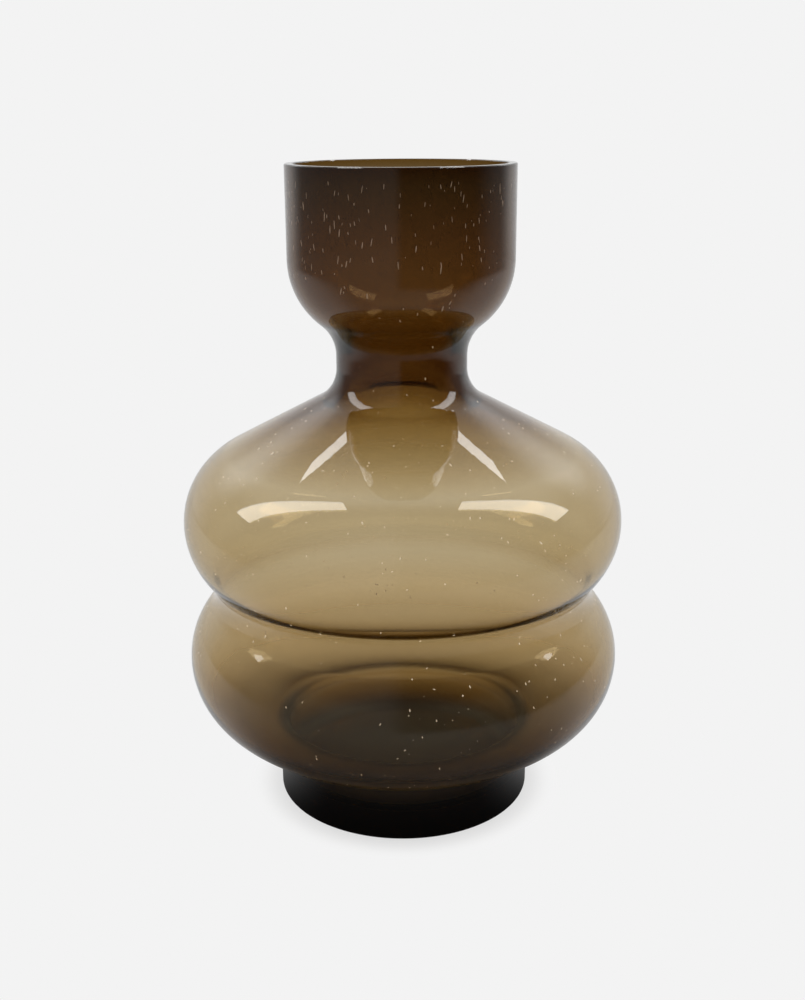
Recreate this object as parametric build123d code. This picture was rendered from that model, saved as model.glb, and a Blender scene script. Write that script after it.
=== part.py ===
from build123d import *
import os
from math import atan2, cos, degrees, radians, sin, sqrt

# A gourd vase of smoke-brown blown glass: a cup mouth on a tight neck, two stacked bulbs, a drum foot.
# Millimetres, +Z up. The origin is on the table, under the vase's axis.
# Both pieces are turned shapes. A piece's outline is drawn in (radius, height) and spun about Z.

# Foot: a thick-bottomed glass cup
foot_diameter = 143.0
foot_height = 34.0
foot_wall = 5.0
foot_bottom = 12.0
foot_edge_round = 1.5
foot_well_round = 12.0
standing_ring_width = 11.0
underside_hollow = 2.0

# Collar: the body's open lower end, as wide as the foot and sealed to its rim
collar_height = 4.4
collar_round_outside = 2.0
collar_round_inside = 6.0

# Bulbs: each has its widest diameter and the radius that its side is rounded to
lower_bulb_diameter = 240.0
lower_bulb_round = 43.2
lower_bulb_wall = 1.9
upper_bulb_diameter = 239.6
upper_bulb_round = 43.1
upper_bulb_wall = 2.0

# Where the hot glass gathered, the inside is rounded tighter than the outside, so the wall thickens smoothly.
# This is below the lower bulb's side and on the underside of the upper bulb, each from an angle in degrees.
belly_start = 12.0
belly_tighter = 1.5
underside_start = -22.0
underside_tighter = 5.2

# Waist: the soft groove between the bulbs
waist_diameter = 209.7
waist_round_outside = 15.5
waist_round_inside = 16.5

# Shoulder and neck
shoulder_slope = 28.2
shoulder_slope_inside = 23.7
neck_diameter = 70.0
neck_height = 6.6
neck_wall = 8.0
neck_round_below = 19.4
neck_round_below_inside = 21.0
neck_round_above = 21.5

# Cup mouth
cup_diameter = 119.2
cup_wall = 4.5
cup_side_height = 48.2
cup_bowl_round = 42.5
rim_bevel = 0.5

foot_radius = foot_diameter / 2
well_radius = foot_radius - foot_wall
neck_radius = neck_diameter / 2
cup_radius = cup_diameter / 2


def leg(long_side, short_side):
    """The other short side of a right triangle."""
    return sqrt(long_side**2 - short_side**2)


def point_at(center, radius, angle):
    return (center[0] + radius * cos(radians(angle)), center[1] + radius * sin(radians(angle)))


def angle_to(center, point):
    return degrees(atan2(point[1] - center[1], point[0] - center[0]))


def arc(center, radius, start, end):
    """An arc about center, from one angle to another in degrees."""
    angles = (start, (start + end) / 2, end)
    return ThreePointArc(*[point_at(center, radius, angle) for angle in angles])


def touching_both(first, first_radius, second, second_radius, radius):
    """Center of the circle of this radius that touches two circles on their outer side, away from the axis."""
    reach_first = first_radius + radius
    reach_second = second_radius + radius
    across = (second[0] - first[0], second[1] - first[1])
    distance = sqrt(across[0] ** 2 + across[1] ** 2)
    along = (reach_first**2 - reach_second**2 + distance**2) / (2 * distance)
    aside = leg(reach_first, along)
    unit = (across[0] / distance, across[1] / distance)
    return (first[0] + along * unit[0] + aside * unit[1], first[1] + along * unit[1] - aside * unit[0])


# Centers that the outside and the inside share, stacked up from the foot
lower_center_radius = lower_bulb_diameter / 2 - lower_bulb_round
collar_offset = foot_radius + collar_round_outside - lower_center_radius
collar_drop = leg(lower_bulb_round + collar_round_outside, collar_offset)
lower_center = (lower_center_radius, foot_height + collar_height + collar_drop)

waist_center_radius = waist_diameter / 2 + waist_round_outside
upper_center_radius = upper_bulb_diameter / 2 - upper_bulb_round
waist_to_lower = leg(lower_bulb_round + waist_round_outside, waist_center_radius - lower_center_radius)
waist_to_upper = leg(upper_bulb_round + waist_round_outside, waist_center_radius - upper_center_radius)
upper_center = (upper_center_radius, lower_center[1] + waist_to_lower + waist_to_upper)


def shoulder_ends(bulb, slope, neck, below):
    """The shoulder leaves the upper bulb on its tangent and ends on the arc below the neck."""
    start = point_at(upper_center, bulb, 90 - slope)
    reach = (start[0] + below * sin(radians(slope)) - neck - below) / cos(radians(slope))
    return start, (start[0] - reach * cos(radians(slope)), start[1] + reach * sin(radians(slope)))


shoulder_top = shoulder_ends(upper_bulb_round, shoulder_slope, neck_radius, neck_round_below)[1]
neck_start = shoulder_top[1] + neck_round_below * cos(radians(shoulder_slope))
bowl_offset = neck_radius + neck_round_above - (cup_radius - cup_bowl_round)
bowl_rise = leg(cup_bowl_round + neck_round_above, bowl_offset)
bowl_center = (cup_radius - cup_bowl_round, neck_start + neck_height + bowl_rise)
overall_height = bowl_center[1] + cup_side_height


def from_collar(collar, collar_round, center, bulb):
    """The collar and the arc that leads into a bulb, and the angle at which the bulb's own arc starts."""
    reach = leg(bulb + collar_round, collar + collar_round - center[0])
    collar_center = (collar + collar_round, center[1] - reach)
    angle = angle_to(center, collar_center)
    edges = [
        Line((collar, foot_height), (collar, collar_center[1])),
        arc(collar_center, collar_round, 180, angle + 180),
    ]
    return edges, angle


def waist(low, low_round, high, high_round, waist_round):
    """The waist's arc, and the angles at which it touches the bulb below and the bulb above."""
    waist_center = touching_both(low, low_round, high, high_round, waist_round)
    low_angle = angle_to(low, waist_center)
    high_angle = angle_to(high, waist_center)
    return arc(waist_center, waist_round, low_angle + 180, high_angle + 180), low_angle, high_angle


def to_rim(bulb, slope, neck, below, above, bowl, cup):
    """The shoulder, the neck and the cup up to the rim, every stretch tangent to the next."""
    shoulder_start, shoulder_end = shoulder_ends(bulb, slope, neck, below)
    below_center = (neck + below, shoulder_end[1] + below * cos(radians(slope)))
    above_center = (neck + above, bowl_center[1] - leg(bowl + above, neck + above - bowl_center[0]))
    bowl_angle = angle_to(bowl_center, above_center)
    return [
        Line(shoulder_start, shoulder_end),
        arc(below_center, below, 270 - slope, 180),
        Line((neck, below_center[1]), (neck, above_center[1])),
        arc(above_center, above, 180, bowl_angle + 180),
        arc(bowl_center, bowl, bowl_angle, 0),
        Line((cup, bowl_center[1]), (cup, overall_height - rim_bevel)),
    ]


def spun(edges):
    """The closed outline, stood up in the XZ plane and turned once round Z."""
    return revolve(Plane.XZ * make_face(edges), axis=Axis.Z, revolution_arc=360)


# Blown body: one wall from the mouth to the collar, thick at cup and neck and thin where it was blown wide
def outside():
    collar, collar_angle = from_collar(foot_radius, collar_round_outside, lower_center, lower_bulb_round)
    groove, low_angle, high_angle = waist(
        lower_center, lower_bulb_round, upper_center, upper_bulb_round, waist_round_outside
    )
    return [
        *collar,
        arc(lower_center, lower_bulb_round, collar_angle, low_angle),
        groove,
        arc(upper_center, upper_bulb_round, high_angle, 90 - shoulder_slope),
        *to_rim(
            upper_bulb_round, shoulder_slope, neck_radius, neck_round_below, neck_round_above,
            cup_bowl_round, cup_radius,
        ),
    ]


def inside():
    lower = lower_bulb_round - lower_bulb_wall
    upper = upper_bulb_round - upper_bulb_wall
    belly = lower - belly_tighter
    underside = upper - underside_tighter
    belly_center = point_at(lower_center, belly_tighter, belly_start)
    underside_center = point_at(upper_center, underside_tighter, underside_start)
    collar, collar_angle = from_collar(well_radius, collar_round_inside, belly_center, belly)
    ridge, low_angle, high_angle = waist(lower_center, lower, underside_center, underside, waist_round_inside)
    return [
        *collar,
        arc(belly_center, belly, collar_angle, belly_start),
        arc(lower_center, lower, belly_start, low_angle),
        ridge,
        arc(underside_center, underside, high_angle, underside_start),
        arc(upper_center, upper, underside_start, 90 - shoulder_slope_inside),
        *to_rim(
            upper, shoulder_slope_inside, neck_radius - neck_wall, neck_round_below_inside,
            neck_round_above + cup_wall, cup_bowl_round - cup_wall, cup_radius - cup_wall,
        ),
    ]


def blown_body():
    rim = Polyline(
        (cup_radius, overall_height - rim_bevel),
        (cup_radius - rim_bevel, overall_height),
        (cup_radius - cup_wall + rim_bevel, overall_height),
        (cup_radius - cup_wall, overall_height - rim_bevel),
    )
    seal = Line((well_radius, foot_height), (foot_radius, foot_height))
    return spun([*outside(), *rim.edges(), *inside(), seal])


# Foot: the well inside carries the vase's hollow on down, and the underside is hollowed to stand on a ring
def foot():
    ring_inside = foot_radius - standing_ring_width
    edge_center = (foot_radius - foot_edge_round, foot_edge_round)
    well_corner = (well_radius - foot_well_round, foot_bottom + foot_well_round)
    hollow_round = (ring_inside**2 + underside_hollow**2) / (2 * underside_hollow)
    hollow_center = (0, underside_hollow - hollow_round)
    return spun([
        arc(hollow_center, hollow_round, 90, angle_to(hollow_center, (ring_inside, 0))),
        Line((ring_inside, 0), (edge_center[0], 0)),
        arc(edge_center, foot_edge_round, -90, 0),
        Line((foot_radius, foot_edge_round), (foot_radius, foot_height)),
        Line((foot_radius, foot_height), (well_radius, foot_height)),
        Line((well_radius, foot_height), (well_radius, well_corner[1])),
        arc(well_corner, foot_well_round, 0, -90),
        Line((well_corner[0], foot_bottom), (0, foot_bottom)),
        Line((0, foot_bottom), (0, underside_hollow)),
    ])


os.makedirs("parts", exist_ok=True)
for name, piece in (("blown_body", blown_body()), ("foot", foot())):
    export_step(piece, f"parts/{name}.step")
    print(name, round(piece.volume / 1000, 1), "cm3")
print("overall height", round(overall_height, 2))
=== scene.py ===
# %% [markdown]
# A gourd vase of smoke-brown blown glass. It is one continuous wall of glass from the cup mouth down
# through the neck, two bulbs and a pinched waist, sealed onto a thick, nearly black foot. The glass is
# the whole subject: its tint deepens wherever the wall is thick, and small air seeds are caught inside
# it.

# %% Load the frame
from math import atan2, ceil, cos, degrees, exp, hypot, pi, radians, sin, sqrt

import bpy
from mathutils import Matrix


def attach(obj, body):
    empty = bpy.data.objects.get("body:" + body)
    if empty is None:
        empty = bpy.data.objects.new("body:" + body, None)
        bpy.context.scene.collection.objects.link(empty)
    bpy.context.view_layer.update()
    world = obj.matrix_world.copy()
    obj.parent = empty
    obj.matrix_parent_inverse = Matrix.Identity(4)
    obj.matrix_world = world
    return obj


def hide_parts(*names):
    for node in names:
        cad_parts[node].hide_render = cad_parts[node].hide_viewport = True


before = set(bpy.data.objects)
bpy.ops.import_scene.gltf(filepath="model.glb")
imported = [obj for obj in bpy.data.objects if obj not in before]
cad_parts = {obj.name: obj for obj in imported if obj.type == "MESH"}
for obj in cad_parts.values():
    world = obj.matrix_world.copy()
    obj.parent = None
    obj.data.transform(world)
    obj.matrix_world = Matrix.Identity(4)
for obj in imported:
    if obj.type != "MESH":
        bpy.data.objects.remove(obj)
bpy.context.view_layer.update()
scene = bpy.context.scene
scene.view_settings.view_transform = "Standard"

# %% [markdown]
# The photograph looks down on the vase a little, from about two vase heights away. The outline of the
# vase in the picture fixes the lens: its mouth is seen almost edge-on and its foot as a wide ellipse.
# Metres and degrees are used, and the lens is for a 36 mm tall picture.

# %% Camera
camera_distance = 0.6538
camera_height = 0.3743
look_down = 17.38
camera_roll = -0.30
lens_mm = 44.55
picture_height_mm = 36.0

camera = bpy.data.objects.new("camera", bpy.data.cameras.new("camera"))
camera.data.sensor_fit = "VERTICAL"
camera.data.sensor_height = picture_height_mm
camera.data.lens = lens_mm
tilt = Matrix.Rotation(radians(90 - look_down), 4, "X") @ Matrix.Rotation(radians(camera_roll), 4, "Z")
camera.matrix_world = Matrix.Translation((0, -camera_distance, camera_height)) @ tilt
scene.collection.objects.link(camera)
scene.camera = camera
print("camera", round(camera_distance, 3), "m away, looking down", look_down, "degrees")

# %% [markdown]
# A few helpers serve every finish. Colours are written as sRGB hex, as a colour picker shows them, and
# turned to the linear values that the renderer works in. One function adds a node with its settings and
# links, so that a tree reads as a list of what it does. Another gives a tint that follows a height or a
# distance, by stops that each name a place in metres and a colour.

# %% Helpers for finishes
multiply = {"operation": "MULTIPLY"}
soft_step = {"interpolation_type": "SMOOTHSTEP"}
mix_numbers = {"data_type": "FLOAT"}
mix_colours = {"data_type": "RGBA"}


def linear(hex_colour):
    channels = [int(hex_colour[i:i + 2], 16) / 255 for i in (1, 3, 5)]
    return [c / 12.92 if c <= 0.04045 else ((c + 0.055) / 1.055) ** 2.4 for c in channels] + [1.0]


def between(low, high):
    """The two ends of a range that a value is followed through."""
    return {"From_Min": low, "From_Max": high}


def add_node(tree, kind, settings=None, **sockets):
    """Adds a node. Settings are attributes. A socket takes a value or an output, and _2 is socket 2."""
    node = tree.nodes.new(kind)
    for name, value in (settings or {}).items():
        setattr(node, name, value)
    for name, value in sockets.items():
        socket = node.inputs[int(name[1:])] if name[0] == "_" else node.inputs[name.replace("_", " ")]
        if isinstance(value, bpy.types.NodeSocket):
            tree.links.new(value, socket)
        else:
            socket.default_value = value
    return node


def new_material(name):
    material = bpy.data.materials.new(name)
    material.use_nodes = True
    material.node_tree.nodes.clear()
    return material, material.node_tree


def tint_along(tree, place, stops):
    """A colour that follows a height or a distance through stops of place and colour."""
    first, last = stops[0][0], stops[-1][0]
    along = add_node(tree, "ShaderNodeMapRange", Value=place, **between(first, last))
    tint = add_node(tree, "ShaderNodeValToRGB", Fac=along.outputs["Result"])
    for step, (level, tone) in enumerate(stops):
        stop = tint.color_ramp.elements[step] if step < 2 else tint.color_ramp.elements.new(1.0)
        stop.position = (level - first) / (last - first)
        stop.color = linear(tone)
    return tint.outputs["Color"]


print("mid grey #808080 is", round(linear("#808080")[0], 3), "in linear light")

# %% [markdown]
# Smoke-brown soda-lime glass, blown and fire-polished, so its skin is perfectly smooth. Most of its
# colour is in the depth: light loses blue first and red last on its way through, so a thin wall looks
# tan and a thick one nearly black. A painted colour couldn't do that. A volume that absorbs light gives
# it by itself from the wall's thickness.

# %% Light lost in the glass
glass_ior = 1.5
absorbed_per_mm = (0.147, 0.202, 0.334)
deepest = max(absorbed_per_mm) * 1.05
mm_per_metre = 1000
body_strength, foot_strength = 1.0, 0.15
print("glass lets through red, green and blue, per mm:", [round(exp(-a), 2) for a in absorbed_per_mm])

# %% [markdown]
# Thickness isn't the whole tint, because a glassblower also rolls the hot glass in colour. That layer
# stays dense on the cup and the neck, is stretched thin on the wide bulbs, and is a dark skin round the
# foot, whose core is paler than the wall. So a second tint lies on the skin and follows the height in
# metres. Inside the foot a painted shade is laid on as well, which darkens the inside of the well
# towards its bottom.

# %% Colour layer and painted shade in the well
colour_coat = (
    (0.000, "#1c160c"), (0.010, "#281e0e"), (0.016, "#443410"), (0.025, "#5a4518"), (0.0330, "#846838"),
    (0.0338, "#ffffff"), (0.060, "#e8ddca"), (0.085, "#f6f0e6"), (0.100, "#ffffff"), (0.228, "#ffffff"),
    (0.245, "#e1d6bf"), (0.275, "#c6b49e"), (0.292, "#beac9b"), (0.316, "#ae9e97"), (0.328, "#a2958b"),
    (0.341, "#948a80"), (0.350, "#7c6434"),
)
# Painted shade: the inside of the well is darker towards its bottom.
painted_well_shade = (
    (0.011, "#5e4c2e"), (0.016, "#6e5c3e"), (0.023, "#b8a484"), (0.030, "#c8b898"), (0.040, "#ffffff"),
)
seal_level = 0.034
print("stops in the colour layer:", len(colour_coat), "outside and", len(painted_well_shade), "in the well")

# %% [markdown]
# The foot is taken to be sealed on hot. There the two pieces are one glass, so light isn't bent where
# they meet, and the inside, which no tool could reach, is a little rippled. Such ripples are too fine
# to draw as shapes, so they are roughness: the grey of each stop is the roughness at that height, on
# the inside only. It blurs the edges of the well, which the photograph shows only as a soft dark base.
# Two marks on the faces, "inside" and "sealed", say where this holds.

# %% Smoke glass
seal_ripple = ((0.011, "#909090"), (0.022, "#d0d0d0"), (0.048, "#d0d0d0"), (0.070, "#000000"))
no_bend = 1.0


def glass_skin(tree):
    """Clear polished glass, tinted by the colour layer and by painted shade in the well."""
    place = add_node(tree, "ShaderNodeTexCoord").outputs["Object"]
    height = add_node(tree, "ShaderNodeSeparateXYZ", Vector=place).outputs["Z"]
    inside = add_node(tree, "ShaderNodeAttribute", {"attribute_name": "inside"}).outputs["Fac"]
    sealed = add_node(tree, "ShaderNodeAttribute", {"attribute_name": "sealed"}).outputs["Fac"]
    bend = add_node(tree, "ShaderNodeMapRange", Value=sealed, To_Min=glass_ior, To_Max=no_bend)
    above_seal = add_node(tree, "ShaderNodeMath", multiply, _0=inside, _1=seal_level)
    coat_level = add_node(
        tree, "ShaderNodeMath", {"operation": "MAXIMUM"}, _0=height, _1=above_seal.outputs["Value"],
    )
    coat_and_well_shade = add_node(
        # The colour layer, multiplied inside the well by the painted shade.
        tree, "ShaderNodeMix", {"data_type": "RGBA", "blend_type": "MULTIPLY"}, _0=inside,
        _6=tint_along(tree, coat_level.outputs["Value"], colour_coat),
        _7=tint_along(tree, height, painted_well_shade),
    )
    rippled = add_node(
        tree, "ShaderNodeMath", multiply, _0=inside, _1=tint_along(tree, height, seal_ripple),
    )
    skin = add_node(
        tree, "ShaderNodeBsdfPrincipled",
        Base_Color=coat_and_well_shade.outputs[2], Roughness=rippled.outputs["Value"], IOR=bend.outputs["Result"],
        Transmission_Weight=1.0,
    )
    return skin.outputs["BSDF"]


def smoke_glass(name, strength):
    """Soda-lime glass with this share of the full absorption. The eye sees it darken with thickness."""
    material, tree = new_material(name)
    depth = add_node(
        tree, "ShaderNodeVolumeAbsorption",
        Color=[1 - a / deepest for a in absorbed_per_mm] + [1], Density=deepest * mm_per_metre * strength,
    )
    add_node(
        tree, "ShaderNodeOutputMaterial", Surface=glass_skin(tree), Volume=depth.outputs["Volume"],
    )
    return material


blown_glass = smoke_glass("blown smoke-brown glass", body_strength)
foot_glass = smoke_glass("thick smoke-brown glass", foot_strength)
print("glasses:", blown_glass.name, "and", foot_glass.name)

# %% [markdown]
# Both pieces are turned shapes, so each is drawn as half a cross-section: radius across, height up. The
# sizes are those of the solids, in millimetres and degrees. The wall's outside and inside are the same
# chain of arcs and straight stretches, each tangent to the next, with different radii. That makes the
# wall thick in the cup and neck and thin where the bubble was blown wide.

# %% Sizes of the vase
mm = 0.001
foot_radius, foot_height, foot_wall, foot_bottom = 71.5, 34.0, 5.0, 12.0
foot_edge_round, foot_well_round, ring_width, underside_hollow = 1.5, 12.0, 11.0, 2.0
collar_height, collar_round_outside, collar_round_inside = 4.4, 2.0, 6.0
lower_radius, lower_round, lower_wall = 120.0, 43.2, 1.9
belly_start, belly_tighter = 12.0, 1.5
upper_radius, upper_round, upper_wall = 119.8, 43.1, 2.0
underside_start, underside_tighter = -22.0, 5.2
waist_radius, waist_round_outside, waist_round_inside = 104.85, 15.5, 16.5
shoulder_slope, shoulder_slope_inside = 28.2, 23.7
neck_radius, neck_height, neck_wall = 35.0, 6.6, 8.0
neck_round_below, neck_round_below_inside, neck_round_above = 19.4, 21.0, 21.5
cup_radius, cup_wall, cup_side, bowl_round, rim_bevel = 59.6, 4.5, 48.2, 42.5, 0.5
well_radius = foot_radius - foot_wall
print("bulbs", 2 * lower_radius, "and", 2 * upper_radius, "mm wide, cup", 2 * cup_radius, "mm wide")

# %% [markdown]
# An arc becomes a row of points. How far apart they are, in degrees, depends on how much of it is seen:
# the big bulbs get the smallest steps of the wall, and the foot's small edges the largest.

# %% Points on arcs
bulb_step, neck_step, collar_step = 3.0, 4.0, 6.0
well_step, edge_step, hollow_step = 8.0, 15.0, 0.5


def leg(long_side, short_side):
    """The other short side of a right triangle."""
    return sqrt(long_side ** 2 - short_side ** 2)


def at(center, radius, angle):
    return (center[0] + radius * cos(radians(angle)), center[1] + radius * sin(radians(angle)))


def angle_to(center, point):
    return degrees(atan2(point[1] - center[1], point[0] - center[0]))


def arc(center, radius, start, end, step):
    """Points on an arc, about a step of degrees apart."""
    count = max(2, ceil(abs(end - start) / step))
    return [at(center, radius, start + (end - start) * i / count) for i in range(count + 1)]


# %% [markdown]
# The arcs' centers follow from the sizes. Where two arcs touch, the line between their centers goes
# through the point of touch, so each center is one right triangle away from the one below it. They are
# stacked up from the foot, and the last one gives the height of the rim, which has to be that of the
# solids.

# %% Centers of the arcs
lower_center_r = lower_radius - lower_round
collar_drop = leg(lower_round + collar_round_outside, foot_radius + collar_round_outside - lower_center_r)
lower_center = (lower_center_r, foot_height + collar_height + collar_drop)
upper_center_r = upper_radius - upper_round
waist_r = waist_radius + waist_round_outside
waist_to_lower = leg(lower_round + waist_round_outside, waist_r - lower_center_r)
waist_to_upper = leg(upper_round + waist_round_outside, waist_r - upper_center_r)
upper_center = (upper_center_r, lower_center[1] + waist_to_lower + waist_to_upper)


def below_neck(bulb, slope, neck, fillet):
    """Center of the arc between the straight shoulder and the neck."""
    start = at(upper_center, bulb, 90 - slope)
    length = (start[0] + fillet * sin(radians(slope)) - neck - fillet) / cos(radians(slope))
    return (neck + fillet, start[1] + length * sin(radians(slope)) + fillet * cos(radians(slope)))


neck_low = below_neck(upper_round, shoulder_slope, neck_radius, neck_round_below)[1]
bowl_rise = leg(bowl_round + neck_round_above, neck_radius + neck_round_above - cup_radius + bowl_round)
bowl_center = (cup_radius - bowl_round, neck_low + neck_height + bowl_rise)
rim_height = bowl_center[1] + cup_side

# %% [markdown]
# Three stretches make up either side of the wall: the collar that sits on the foot, the waist between
# the bulbs, and the way from the shoulder to the rim. Each is a function, because the outside and the
# inside need it with other radii. A hair's breadth is left at the seal, so that the two pieces' faces
# don't coincide.

# %% Stretches of the wall
seal_gap = 0.02


def from_collar(collar, collar_round, center, radius):
    """The collar and the arc that leads into a bulb, and the angle at which the bulb starts."""
    drop = leg(radius + collar_round, collar + collar_round - center[0])
    middle = (collar + collar_round, center[1] - drop)
    angle = angle_to(center, middle)
    line = [(collar, foot_height + seal_gap), *arc(middle, collar_round, 180, angle + 180, collar_step)]
    return line, angle


def waist(low, low_round, high, high_round, waist_round):
    """The waist's arc, which touches both bulbs from outside, and the angles at which it touches them."""
    reach_low, reach_high = low_round + waist_round, high_round + waist_round
    span = hypot(high[0] - low[0], high[1] - low[1])
    along = (reach_low ** 2 - reach_high ** 2 + span ** 2) / (2 * span)
    aside = leg(reach_low, along)
    ux, uz = (high[0] - low[0]) / span, (high[1] - low[1]) / span
    middle = (low[0] + along * ux + aside * uz, low[1] + along * uz - aside * ux)
    low_angle, high_angle = angle_to(low, middle), angle_to(high, middle)
    return arc(middle, waist_round, low_angle + 180, high_angle + 180, neck_step), low_angle, high_angle


def to_rim(bulb, slope, neck, below, above, bowl, cup):
    """The shoulder, the neck and the cup."""
    below_center = below_neck(bulb, slope, neck, below)
    above_center = (neck + above, bowl_center[1] - leg(bowl + above, neck + above - bowl_center[0]))
    bowl_angle = angle_to(bowl_center, above_center)
    return [
        *arc(below_center, below, 270 - slope, 180, neck_step),
        *arc(above_center, above, 180, bowl_angle + 180, neck_step),
        *arc(bowl_center, bowl, bowl_angle, 0, neck_step)[1:],
        (cup, rim_height - rim_bevel),
    ]


# %% [markdown]
# The outside is strung together from the collar up to the rim, and the inside goes the same way with
# its own radii. Its arcs are tighter on the belly and under the upper bulb, where hot glass gathered,
# so the wall thickens there. The ground rim joins the two.

# %% Outside of the wall
collar_line, collar_angle = from_collar(foot_radius, collar_round_outside, lower_center, lower_round)
waist_line, low_angle, high_angle = waist(
    lower_center, lower_round, upper_center, upper_round, waist_round_outside)
outside = [
    *collar_line,
    *arc(lower_center, lower_round, collar_angle, low_angle, bulb_step)[1:],
    *waist_line[1:],
    *arc(upper_center, upper_round, high_angle, 90 - shoulder_slope, bulb_step)[1:],
    *to_rim(
        upper_round, shoulder_slope, neck_radius, neck_round_below, neck_round_above,
        bowl_round, cup_radius,
    ),
]
print("points on the wall's outside:", len(outside))

# %% Inside of the wall
lower_inside, upper_inside = lower_round - lower_wall, upper_round - upper_wall
belly, underside = lower_inside - belly_tighter, upper_inside - underside_tighter
belly_center = at(lower_center, belly_tighter, belly_start)
underside_center = at(upper_center, underside_tighter, underside_start)
collar_line, collar_angle = from_collar(well_radius, collar_round_inside, belly_center, belly)
waist_line, low_angle, high_angle = waist(
    lower_center, lower_inside, underside_center, underside, waist_round_inside)
inside = [
    *collar_line,
    *arc(belly_center, belly, collar_angle, belly_start, bulb_step)[1:],
    *arc(lower_center, lower_inside, belly_start, low_angle, bulb_step)[1:],
    *waist_line[1:],
    *arc(underside_center, underside, high_angle, underside_start, bulb_step)[1:],
    *arc(upper_center, upper_inside, underside_start, 90 - shoulder_slope_inside, bulb_step)[1:],
    *to_rim(
        upper_inside, shoulder_slope_inside, neck_radius - neck_wall, neck_round_below_inside,
        neck_round_above + cup_wall, bowl_round - cup_wall, cup_radius - cup_wall,
    ),
]
rim = [(cup_radius - cup_wall + rim_bevel, rim_height), (cup_radius - rim_bevel, rim_height)]
body_outline = inside + rim + outside[::-1]
print("points on the body's outline:", len(body_outline))

# %% [markdown]
# The foot is a thick-bottomed cup of glass. Its well carries the vase's hollow on down, and the
# underside is ground to a flat ring with a shallow hollow inside it, so that the vase stands without
# rocking.

# %% The foot's outline
ring_inside = foot_radius - ring_width
hollow_round = (ring_inside ** 2 + underside_hollow ** 2) / (2 * underside_hollow)
hollow_center = (0, underside_hollow - hollow_round)
well_corner = (well_radius - foot_well_round, foot_bottom + foot_well_round)
foot_edge = (foot_radius - foot_edge_round, foot_edge_round)
foot_outline = [
    (0, foot_bottom),
    *arc(well_corner, foot_well_round, -90, 0, well_step),
    (well_radius, foot_height - seal_gap),
    (foot_radius, foot_height - seal_gap),
    *arc(foot_edge, foot_edge_round, 0, -90, edge_step),
    *arc(hollow_center, hollow_round, angle_to(hollow_center, (ring_inside, 0)), 90, hollow_step),
]
print("points on the foot's outline:", len(foot_outline))

# %% [markdown]
# A lathe turns an outline into a round piece. Geometry Nodes have one in Curve to Mesh, which carries a
# profile round a circle. The circle here is a hair's breadth wide, and the profile is moved in by as
# much, so that the pole of a solid foot closes when its doubled points are merged.

# %% Lathe
axis_circle = 0.00001
merge_within = 3 * axis_circle


def lathe_tree():
    tree = bpy.data.node_groups.new("glass lathe", "GeometryNodeTree")
    for name, kind in (("Outline", "Geometry"), ("Steps round", "Int"), ("Glass", "Material")):
        tree.interface.new_socket(name, in_out="INPUT", socket_type="NodeSocket" + kind)
    tree.interface.new_socket("Turned piece", in_out="OUTPUT", socket_type="NodeSocketGeometry")
    given = add_node(tree, "NodeGroupInput").outputs
    circle = add_node(
        tree, "GeometryNodeCurvePrimitiveCircle", Resolution=given["Steps round"], Radius=axis_circle,
    )
    turned = add_node(
        tree, "GeometryNodeCurveToMesh", Curve=circle.outputs["Curve"], Profile_Curve=given["Outline"],
    )
    closed = add_node(
        tree, "GeometryNodeMergeByDistance", Geometry=turned.outputs["Mesh"], Distance=merge_within,
    )
    smooth = add_node(tree, "GeometryNodeSetShadeSmooth", Geometry=closed.outputs["Geometry"])
    whole = add_node(tree, "GeometryNodeRealizeInstances", Geometry=smooth.outputs["Geometry"])
    coated = add_node(
        tree, "GeometryNodeSetMaterial", Geometry=whole.outputs["Geometry"], Material=given["Glass"],
    )
    add_node(tree, "NodeGroupOutput", Turned_piece=coated.outputs["Geometry"])
    return tree


lathe = lathe_tree()
print("lathe of", len(lathe.nodes), "nodes")

# %% [markdown]
# A modifier runs such a tree on an object. Its inputs are set by their identifiers, before the object
# is first evaluated. The result is kept as a plain mesh, because the export takes no modifiers, and the
# object that it was made from is removed.

# %% From a tree to a plain mesh


def set_inputs(modifier, **values):
    """Sets a modifier's inputs by their identifiers."""
    for item in modifier.node_group.interface.items_tree:
        if item.in_out == "INPUT" and item.name.replace(" ", "_") in values:
            modifier[item.identifier] = values[item.name.replace(" ", "_")]


def as_plain_mesh(name, maker, tree, **values):
    """Runs a tree on an object, keeps its result as a plain mesh piece and removes the maker."""
    scene.collection.objects.link(maker)
    modifier = maker.modifiers.new(tree.name, "NODES")
    modifier.node_group = tree
    set_inputs(modifier, **values)
    evaluated = maker.evaluated_get(bpy.context.evaluated_depsgraph_get())
    mesh = bpy.data.meshes.new_from_object(evaluated)
    bpy.data.objects.remove(maker)
    piece = bpy.data.objects.new(name, mesh)
    scene.collection.objects.link(piece)
    return piece


# %% [markdown]
# After turning, each face gets the two marks that the glass reads. A face is sealed where it lies level
# at the height of the seal. It counts as inside where it faces the axis or looks up, and the glass only
# asks this low down in the vase, where no outer face looks up. Shading is smooth, with creases at the
# bevelled rim.

# %% Turned pieces
crease_angle = 35
level_normal, upward_normal = 0.9, 0.3
wall_steps_round, skin_steps_round = 256, 128


def mark_faces(mesh):
    sealed = mesh.attributes.new("sealed", "FLOAT", "FACE")
    inside_skin = mesh.attributes.new("inside", "FLOAT", "FACE")
    for face in mesh.polygons:
        at_seal = abs(face.center.z / mm - foot_height) < 2 * seal_gap
        sealed.data[face.index].value = float(at_seal and abs(face.normal.z) > level_normal)
        faces_axis = face.normal.x * face.center.x + face.normal.y * face.center.y < 0
        inside_skin.data[face.index].value = float(faces_axis or face.normal.z > upward_normal)


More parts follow.
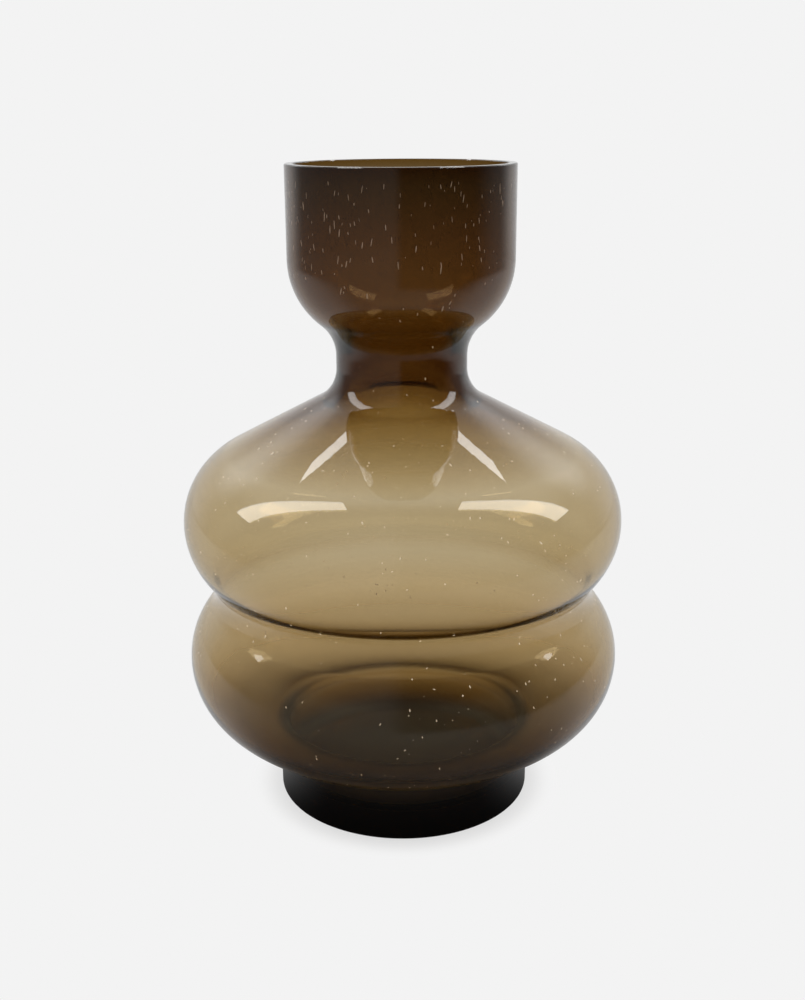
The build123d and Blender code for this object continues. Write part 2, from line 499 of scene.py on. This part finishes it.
def turned(name, outline, closed, glass, steps_round):
    """A piece turned from an outline that goes up its inside and down its outside."""
    curve = bpy.data.curves.new(name, "CURVE")
    curve.dimensions = "3D"
    spline = curve.splines.new("POLY")
    spline.points.add(len(outline) - 1)
    for point, (radius, height) in zip(spline.points, outline):
        point.co = (radius * mm - axis_circle, -height * mm, 0, 1)
    spline.use_cyclic_u = closed
    maker = bpy.data.objects.new(name + " outline", curve)
    piece = as_plain_mesh(name, maker, lathe, Steps_round=steps_round, Glass=glass)
    piece.data.set_sharp_from_angle(angle=radians(crease_angle))
    mark_faces(piece.data)
    return piece


# %% Turn the body and the foot
body = turned("blown_wall", body_outline, True, blown_glass, wall_steps_round)
foot = turned("drum_foot", foot_outline, False, foot_glass, wall_steps_round)
for piece, node, slot in ((body, "blown_body", "smoke_glass"), (foot, "foot", "dark_foot_glass")):
    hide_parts(node)
    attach(piece, "root")
    print(piece.name, len(piece.data.polygons), "faces")

# %% [markdown]
# Seeds are air bubbles caught in the melt. To the eye they are bright specks, because their skin
# mirrors the light like pearls. A true hollow would cost many more bounces for a speck a pixel wide, so
# each is a pale ball with a faint glow of its own, which stands for that light. It is dimmer under the
# dark layer of the cup and at the base.

# %% Air in the seeds
seed_tone = linear("#dccfc6")
seed_glow = (
    (0.080, "#867c72"), (0.120, "#d6c8b2"), (0.200, "#d6c8b2"), (0.280, "#847973"), (0.350, "#847973"),
)
seed_roughness = 0.3


def seed_air():
    """Trapped air, which the eye sees as pale, softly shining specks."""
    material, tree = new_material("air seeds in glass")
    place = add_node(tree, "ShaderNodeTexCoord")
    height = add_node(tree, "ShaderNodeSeparateXYZ", Vector=place.outputs["Object"])
    pearl = add_node(
        tree, "ShaderNodeBsdfPrincipled",
        Base_Color=seed_tone, Roughness=seed_roughness,
        Emission_Color=tint_along(tree, height.outputs["Z"], seed_glow), Emission_Strength=1.0,
    )
    add_node(tree, "ShaderNodeOutputMaterial", Surface=pearl.outputs["BSDF"])
    return material


# %% [markdown]
# Where the wall was drawn up to the cup, the seeds are pulled out into fine upright threads, and in the
# bulbs they are dots. They could be painted on with a noise pattern, but then they would lie on the
# skin. Scattered points just under it, each with a small stretched ball, put them in the glass. The
# balls are a little larger than real seeds, so that they show at the picture's size. Glass has patches
# with many seeds and patches with few, about 35 mm apart, and the neck has almost none.

# %% How crowded the seeds are
shoulder_level, neck_level, cup_level, rim_level = 0.205, 0.272, 0.300, 0.343
patches_per_metre = 28.0
patch_edges = between(0.38, 0.62)
sparse, dense = 0.15, 2.2


def seed_crowd(tree, given, position, level, drawn):
    """How many seeds there are on a square metre of the skin."""
    in_bulbs = add_node(
        tree, "ShaderNodeMapRange", Value=level, **between(shoulder_level, neck_level),
        To_Min=given["Seeds in bulbs"], To_Max=0.0,
    )
    crowd = add_node(
        tree, "ShaderNodeMix", mix_numbers,
        _0=drawn, _2=in_bulbs.outputs["Result"], _3=given["Seeds in cup"],
    )
    clouds = add_node(tree, "ShaderNodeTexNoise", Vector=position, Scale=patches_per_metre, Detail=1.0)
    patchy = add_node(
        tree, "ShaderNodeMapRange", Value=clouds.outputs["Fac"], **patch_edges, To_Min=sparse, To_Max=dense,
    )
    crowded = add_node(
        tree, "ShaderNodeMath", multiply, _0=crowd.outputs[0], _1=patchy.outputs["Result"],
    )
    return crowded.outputs["Value"]


# %% [markdown]
# A seed points up along the wall, because that is the way the glass was drawn. The direction comes from
# two cross products with the skin's normal. Each seed strays from it a little, and three times as much
# in the bulbs, where the bubble was blown in all directions.

# %% How the seeds lie
stray_limit, bulb_stray = 0.2, 3.0
lean_draw = 4


def seed_lean(tree, normal, drawn):
    around = add_node(
        tree, "ShaderNodeVectorMath", {"operation": "CROSS_PRODUCT"}, _0=(0, 0, 1), _1=normal,
    )
    upward = add_node(
        tree, "ShaderNodeVectorMath", {"operation": "CROSS_PRODUCT"},
        _0=normal, _1=around.outputs["Vector"],
    )
    stray = add_node(
        tree, "FunctionNodeRandomValue", {"data_type": "FLOAT_VECTOR"},
        _0=(-stray_limit,) * 3, _1=(stray_limit,) * 3, _8=lean_draw,
    )
    askew = add_node(tree, "ShaderNodeMapRange", Value=drawn, To_Min=bulb_stray, To_Max=1.0)
    strayed = add_node(
        tree, "ShaderNodeVectorMath", {"operation": "SCALE"},
        _0=stray.outputs[0], Scale=askew.outputs["Result"],
    )
    leaning = add_node(
        tree, "ShaderNodeVectorMath", {"operation": "ADD"},
        _0=upward.outputs["Vector"], _1=strayed.outputs["Vector"],
    )
    turned_up = add_node(
        tree, "FunctionNodeAlignRotationToVector", {"axis": "Z"}, Vector=leaning.outputs["Vector"],
    )
    return turned_up.outputs["Rotation"]


# %% [markdown]
# Every seed draws its own thickness and its own stretch. In the bulbs it is rounder and at most a few
# times as long as it is thick. In the cup it may be a thread.

# %% How large the seeds are
thinnest, thickest, rounder = 0.08 * mm, 0.26 * mm, 1.4
bulb_stretch, cup_stretch = (1.0, 3.4), (2.0, 11.0)
thickness_draw, bulb_draw, cup_draw = 1, 2, 3


def seed_size(tree, drawn):
    drawn_thick = add_node(
        tree, "FunctionNodeRandomValue", mix_numbers, _2=thinnest, _3=thickest, _8=thickness_draw,
    )
    fuller = add_node(tree, "ShaderNodeMapRange", Value=drawn, To_Min=rounder, To_Max=1.0)
    thick = add_node(
        tree, "ShaderNodeMath", multiply, _0=drawn_thick.outputs[1], _1=fuller.outputs["Result"],
    ).outputs["Value"]
    in_bulb = add_node(
        tree, "FunctionNodeRandomValue", mix_numbers, _2=bulb_stretch[0], _3=bulb_stretch[1], _8=bulb_draw,
    )
    in_cup = add_node(
        tree, "FunctionNodeRandomValue", mix_numbers, _2=cup_stretch[0], _3=cup_stretch[1], _8=cup_draw,
    )
    stretch = add_node(
        tree, "ShaderNodeMix", mix_numbers, _0=drawn, _2=in_bulb.outputs[1], _3=in_cup.outputs[1],
    )
    long = add_node(tree, "ShaderNodeMath", multiply, _0=thick, _1=stretch.outputs[0])
    size = add_node(tree, "ShaderNodeCombineXYZ", X=thick, Y=thick, Z=long.outputs["Value"])
    return size.outputs["Vector"]


# %% [markdown]
# The tree spreads points on the outer skin, sinks them into the glass, and puts a ball on each. The
# density is read at the skin's corners, so the skin is divided first. Points near the rim are deleted,
# because a long seed there would stick out of the glass.

# %% Tree that scatters the seeds
skin_divisions = 2
ball_segments, ball_rings = 8, 5


def seed_tree():
    tree = bpy.data.node_groups.new("scattered seeds", "GeometryNodeTree")
    for name, kind in (
        ("Skin", "Geometry"), ("Seeds in bulbs", "Float"), ("Seeds in cup", "Float"), ("Depth", "Float"),
        ("Draw", "Int"), ("Air", "Material"),
    ):
        tree.interface.new_socket(name, in_out="INPUT", socket_type="NodeSocket" + kind)
    tree.interface.new_socket("Seeds", in_out="OUTPUT", socket_type="NodeSocketGeometry")
    given = add_node(tree, "NodeGroupInput").outputs
    position = add_node(tree, "GeometryNodeInputPosition").outputs["Position"]
    level = add_node(tree, "ShaderNodeSeparateXYZ", Vector=position).outputs["Z"]
    drawn = add_node(
        tree, "ShaderNodeMapRange", Value=level, **between(neck_level, cup_level),
    ).outputs["Result"]
    fine = add_node(tree, "GeometryNodeSubdivideMesh", Mesh=given["Skin"], Level=skin_divisions)
    spread = add_node(
        tree, "GeometryNodeDistributePointsOnFaces", Mesh=fine.outputs["Mesh"],
        Density=seed_crowd(tree, given, position, level, drawn), Seed=given["Draw"],
    ).outputs
    near_rim = add_node(tree, "ShaderNodeMath", {"operation": "GREATER_THAN"}, _0=level, _1=rim_level)
    kept = add_node(
        tree, "GeometryNodeDeleteGeometry", {"domain": "POINT"},
        Geometry=spread["Points"], Selection=near_rim.outputs["Value"],
    )
    inward = add_node(
        tree, "ShaderNodeVectorMath", {"operation": "SCALE"}, _0=spread["Normal"], Scale=given["Depth"],
    )
    sunk = add_node(
        tree, "GeometryNodeSetPosition", Geometry=kept.outputs["Geometry"], Offset=inward.outputs["Vector"],
    )
    ball = add_node(
        tree, "GeometryNodeMeshUVSphere", Segments=ball_segments, Rings=ball_rings, Radius=1.0,
    )
    balls = add_node(
        tree, "GeometryNodeInstanceOnPoints",
        Points=sunk.outputs["Geometry"], Instance=ball.outputs["Mesh"],
        Rotation=seed_lean(tree, spread["Normal"], drawn), Scale=seed_size(tree, drawn),
    )
    whole = add_node(tree, "GeometryNodeRealizeInstances", Geometry=balls.outputs["Instances"])
    smooth = add_node(tree, "GeometryNodeSetShadeSmooth", Geometry=whole.outputs["Geometry"])
    filled = add_node(
        tree, "GeometryNodeSetMaterial", Geometry=smooth.outputs["Geometry"], Material=given["Air"],
    )
    add_node(tree, "NodeGroupOutput", Seeds=filled.outputs["Geometry"])
    return tree


# %% Seeds in the wall
bulb_seeds, cup_seeds = 3600.0, 16000.0
seed_depth = -0.95 * mm
skin = turned("outer_skin", outside[::-1], False, blown_glass, skin_steps_round)
scene.collection.objects.unlink(skin)
seeds = as_plain_mesh(
    "air_seeds", skin, seed_tree(),
    Seeds_in_bulbs=bulb_seeds, Seeds_in_cup=cup_seeds, Depth=seed_depth, Draw=7, Air=seed_air(),
)
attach(seeds, "root")
print("seeds:", len(seeds.data.polygons) // (ball_segments * ball_rings))

# %% [markdown]
# Glass shows little but its surroundings, so the stage gets as much care as the vase. Polished glass
# mirrors a room that the picture's white background hides: it is brighter behind the vase, and dark at
# the front right. A room could be built of walls, but they would also take light from the vase. Instead
# the floor and the world show one tone to rays that the glass mirrors, and the plain white to all
# others. Light Path tells them apart. A ray that went through glass counts as glossy too, so it is
# taken off.

# %% Rays that the glass mirrors
room_right, room_front = between(-0.15, 0.05), between(0.3, -0.3)


def mirrored_only(tree, ray):
    """One for a ray that a skin mirrored, and zero for one that went through the glass."""
    mirrored = add_node(
        tree, "ShaderNodeMath", {"operation": "SUBTRACT", "use_clamp": True},
        _0=ray["Is Glossy Ray"], _1=ray["Is Transmission Ray"],
    )
    return mirrored.outputs["Value"]


def dark_corner(tree, toward):
    """How far a direction points to the dark front right of the room."""
    right = add_node(tree, "ShaderNodeMapRange", soft_step, Value=toward["X"], **room_right)
    front = add_node(tree, "ShaderNodeMapRange", soft_step, Value=toward["Y"], **room_front)
    corner = add_node(
        tree, "ShaderNodeMath", multiply, _0=right.outputs["Result"], _1=front.outputs["Result"],
    )
    return corner.outputs["Value"]


# %% [markdown]
# The vase stands on matte white paper. For mirrored rays the paper is dim close to the foot, where the
# vase shades it, and it brightens with distance. Behind the vase it is brighter than in front. The
# bright part reaches round to the sides near the vase and narrows to the back far away, where it meets
# the room.

# %% Floor as the glass mirrors it
mirrored_front = ((0.070, "#2c2c2c"), (0.100, "#444444"), (0.125, "#6c6c6c"), (0.200, "#8c8c8c"))
mirrored_behind = ((0.070, "#484848"), (0.100, "#b4b4b4"), (0.180, "#dcdcdc"))
corner_tone = linear("#2e2e2e")
corner_starts, bright_narrows = between(0.45, 0.65), between(0.2, 2.0)
bright_near, bright_far = (-0.75, 0.0), (0.35, 0.75)


def mirrored_floor(tree, place, away):
    heading = add_node(tree, "ShaderNodeVectorMath", {"operation": "NORMALIZE"}, _0=place)
    toward = add_node(tree, "ShaderNodeSeparateXYZ", Vector=heading.outputs["Vector"]).outputs
    far = add_node(tree, "ShaderNodeMapRange", soft_step, Value=away, **corner_starts)
    farther = add_node(tree, "ShaderNodeMapRange", soft_step, Value=away, **bright_narrows)
    side_edge, back_edge = [
        add_node(tree, "ShaderNodeMapRange", Value=farther.outputs["Result"], To_Min=near, To_Max=end)
        for near, end in zip(bright_near, bright_far)
    ]
    behind = add_node(
        tree, "ShaderNodeMapRange", soft_step, Value=toward["Y"],
        **between(side_edge.outputs["Result"], back_edge.outputs["Result"]),
    )
    dark = add_node(
        tree, "ShaderNodeMath", multiply, _0=dark_corner(tree, toward), _1=far.outputs["Result"],
    )
    front_tone = add_node(
        tree, "ShaderNodeMix", mix_colours, _0=dark.outputs["Value"],
        _6=tint_along(tree, away, mirrored_front), _7=corner_tone,
    )
    tone = add_node(
        tree, "ShaderNodeMix", mix_colours, _0=behind.outputs["Result"],
        _6=front_tone.outputs[2], _7=tint_along(tree, away, mirrored_behind),
    )
    return tone.outputs[2]


# %% [markdown]
# Light that has passed through the vase leaves an amber shadow on the paper. The renderer would need
# far more samples to find it by itself, so it is a tint by distance, shown only to rays that went
# through the glass. It is centred a little nearer to the camera than the vase, because the lamps stand
# beside and behind it. Lit paper would turn grey away from the lamps, so it glows in its own white.
# Close to the foot some plain paper is mixed in, which takes the vase's real shadow.

# %% Paper
paper_white = linear("#f3f3f3")
amber_shift = (0.008, -0.035, 0)
amber_shadow = (
    (0.045, "#050302"), (0.080, "#20160a"), (0.098, "#6a5430"), (0.118, "#a08656"), (0.165, "#c4b088"),
    (0.240, "#f3f3f3"),
)
shade_reach, deepest_shade = between(0.068, 0.090), 0.25


def paper_floor():
    """Matte white paper, which the eye sees as an even white with a faint shadow at the foot."""
    material, tree = new_material("matte white paper")
    place = add_node(tree, "ShaderNodeTexCoord").outputs["Object"]
    ray = add_node(tree, "ShaderNodeLightPath").outputs
    away = add_node(tree, "ShaderNodeVectorMath", {"operation": "LENGTH"}, _0=place).outputs["Value"]
    shifted = add_node(tree, "ShaderNodeVectorMath", {"operation": "SUBTRACT"}, _0=place, _1=amber_shift)
    from_shadow = add_node(
        tree, "ShaderNodeVectorMath", {"operation": "LENGTH"}, _0=shifted.outputs["Vector"],
    )
    seen_through = add_node(
        tree, "ShaderNodeMix", mix_colours, _0=ray["Is Transmission Ray"],
        _6=paper_white, _7=tint_along(tree, from_shadow.outputs["Value"], amber_shadow),
    )
    shown = add_node(
        tree, "ShaderNodeMix", mix_colours, _0=mirrored_only(tree, ray),
        _6=seen_through.outputs[2], _7=mirrored_floor(tree, place, away),
    )
    lit = add_node(
        tree, "ShaderNodeMapRange", {"interpolation_type": "SMOOTHERSTEP"},
        Value=away, **shade_reach, To_Min=1 - deepest_shade, To_Max=1.0,
    )
    even = add_node(
        tree, "ShaderNodeMath", {"operation": "MAXIMUM"}, _0=lit.outputs["Result"], _1=ray["Is Glossy Ray"],
    )
    paper = add_node(tree, "ShaderNodeBsdfDiffuse", Color=paper_white)
    white = add_node(tree, "ShaderNodeEmission", Color=shown.outputs[2])
    mixed = add_node(
        tree, "ShaderNodeMixShader",
        _0=even.outputs["Value"], _1=paper.outputs["BSDF"], _2=white.outputs["Emission"],
    )
    add_node(tree, "ShaderNodeOutputMaterial", Surface=mixed.outputs["Shader"])
    return material


# %% Floor
floor_radius, floor_height, floor_corners = 2.5, -0.0002, 96
bpy.ops.mesh.primitive_circle_add(
    vertices=floor_corners, radius=floor_radius, fill_type="NGON", location=(0, 0, floor_height),
)
floor = bpy.context.object
floor.name = "paper_floor"
floor.data.materials.append(paper_floor())
print("floor", 2 * floor_radius, "m wide")

# %% [markdown]
# The world is the rest of that room, told by direction. Its walls are dim, with the dark corner. At the
# back and overhead they are bright, and a bright screen stands at the back at middle height, which the
# shoulder mirrors. Seen through the glass the room is white, and darker high up, as a studio is above
# its backdrop.

# %% Room as the glass mirrors it
wall_level, corner_level, back_level, screen_level = 0.26, 0.03, 0.9, 1.1
room_back, above_floor = between(0.35, 0.75), between(-0.25, -0.05)
high_up, past_front = between(0.45, 0.8), between(-0.1, 0.25)
screen_foot, screen_head = between(0.25, 0.52), between(0.80, 0.58)


def mirrored_room(tree, toward):
    walls = add_node(
        tree, "ShaderNodeMapRange", Value=dark_corner(tree, toward), To_Min=wall_level, To_Max=corner_level,
    )
    back, not_front = [
        add_node(tree, "ShaderNodeMapRange", soft_step, Value=toward["Y"], **edges).outputs["Result"]
        for edges in (room_back, past_front)
    ]
    above, overhead, over_foot, under_head = [
        add_node(tree, "ShaderNodeMapRange", soft_step, Value=toward["Z"], **edges).outputs["Result"]
        for edges in (above_floor, high_up, screen_foot, screen_head)
    ]
    sweep = add_node(tree, "ShaderNodeMath", multiply, _0=back, _1=above)
    ceiling = add_node(tree, "ShaderNodeMath", multiply, _0=overhead, _1=not_front)
    bright = add_node(
        tree, "ShaderNodeMath", {"operation": "MAXIMUM"},
        _0=sweep.outputs["Value"], _1=ceiling.outputs["Value"],
    )
    room = add_node(
        tree, "ShaderNodeMix", mix_numbers,
        _0=bright.outputs["Value"], _2=walls.outputs["Result"], _3=back_level,
    )
    band = add_node(tree, "ShaderNodeMath", multiply, _0=over_foot, _1=under_head)
    screen = add_node(tree, "ShaderNodeMath", multiply, _0=band.outputs["Value"], _1=screen_level)
    with_screen = add_node(
        tree, "ShaderNodeMath", {"operation": "MULTIPLY_ADD"},
        _0=screen.outputs["Value"], _1=back, _2=room.outputs[0],
    )
    return with_screen.outputs["Value"]


# %% World
fill_level, white_level, level_above = 0.55, 1.0, 0.36
backdrop_top = between(0.20, 0.55)


def studio_world():
    world = bpy.data.worlds.new("white studio")
    scene.world = world
    world.use_nodes = True
    tree = world.node_tree
    tree.nodes.clear()
    ray = add_node(tree, "ShaderNodeLightPath").outputs
    direction = add_node(tree, "ShaderNodeTexCoord").outputs["Generated"]
    toward = add_node(tree, "ShaderNodeSeparateXYZ", Vector=direction).outputs
    behind_glass = add_node(
        tree, "ShaderNodeMapRange", soft_step, Value=toward["Z"], **backdrop_top,
        To_Min=white_level, To_Max=level_above,
    )
    through = add_node(
        tree, "ShaderNodeMix", mix_numbers,
        _0=ray["Is Transmission Ray"], _2=fill_level, _3=behind_glass.outputs["Result"],
    )
    plain = add_node(
        tree, "ShaderNodeMix", mix_numbers, _0=ray["Is Camera Ray"], _2=through.outputs[0], _3=white_level,
    )
    level = add_node(
        tree, "ShaderNodeMix", mix_numbers,
        _0=mirrored_only(tree, ray), _2=plain.outputs[0], _3=mirrored_room(tree, toward),
    )
    sky = add_node(tree, "ShaderNodeBackground", Color=paper_white, Strength=level.outputs[0])
    add_node(tree, "ShaderNodeOutputWorld", Surface=sky.outputs["Background"])
    return world


studio = studio_world()
print("world:", studio.name, "with fill light at", fill_level)

# %% [markdown]
# Two tall soft boxes stand left and right, and two narrow lamps stand behind, higher up. The glass
# mirrors them as the bars and the slanting streaks on its shoulder. Area lamps are used, because a
# mirror image has the shape of the lamp. A lamp's power follows from how bright its face is to look at,
# times its area and pi.

# %% Lamps
box_angle, box_rise, box_aim, box_distance = 95.0, 48.0, (0, 0, 0.2), 1.0
box_wide, box_tall, box_radiance = 0.24, 0.9, 4.8
rear_angle, rear_rise, rear_roll, rear_distance = 141.0, 57.8, 31.0, 0.97
rear_aim_aside, rear_aim_y, rear_aim_z = 0.06, -0.02, 0.21
rear_wide, rear_tall, rear_radiance = 0.04, 0.16, 6.5


def lamp(name, side_angle, height_angle, roll, aim, distance, wide, tall, radiance):
    """A lamp at an angle round from the camera and up from level, at a distance from the point it faces."""
    light = bpy.data.lights.new(name, "AREA")
    light.shape = "RECTANGLE"
    light.size, light.size_y = wide, tall
    light.energy = radiance * pi * wide * tall
    placed = bpy.data.objects.new(name, light)
    turn = (
        Matrix.Rotation(radians(side_angle), 4, "Z")
        @ Matrix.Rotation(radians(90 - height_angle), 4, "X")
        @ Matrix.Rotation(radians(roll), 4, "Z")
    )
    placed.matrix_world = Matrix.Translation(aim) @ turn @ Matrix.Translation((0, 0, distance))
    scene.collection.objects.link(placed)
    print(name, round(light.energy, 2), "W")


for name, side in (("left", -1), ("right", 1)):
    lamp(
        name + " soft box", side * box_angle, box_rise, 0.0, box_aim, box_distance,
        box_wide, box_tall, box_radiance,
    )
    rear_aim = (side * rear_aim_aside, rear_aim_y, rear_aim_z)
    lamp(
        name + " rear lamp", side * rear_angle, rear_rise, side * -rear_roll, rear_aim, rear_distance,
        rear_wide, rear_tall, rear_radiance,
    )

# %% [markdown]
# A ray that looks through the vase crosses four skins or more, and some of them throw it back inside.
# With Blender's usual number of bounces it would end there and leave black patches, so more are
# allowed.

# %% Light paths
glass_bounces = 24
scene.cycles.max_bounces = glass_bounces
scene.cycles.transmission_bounces = glass_bounces
print("bounces:", glass_bounces)
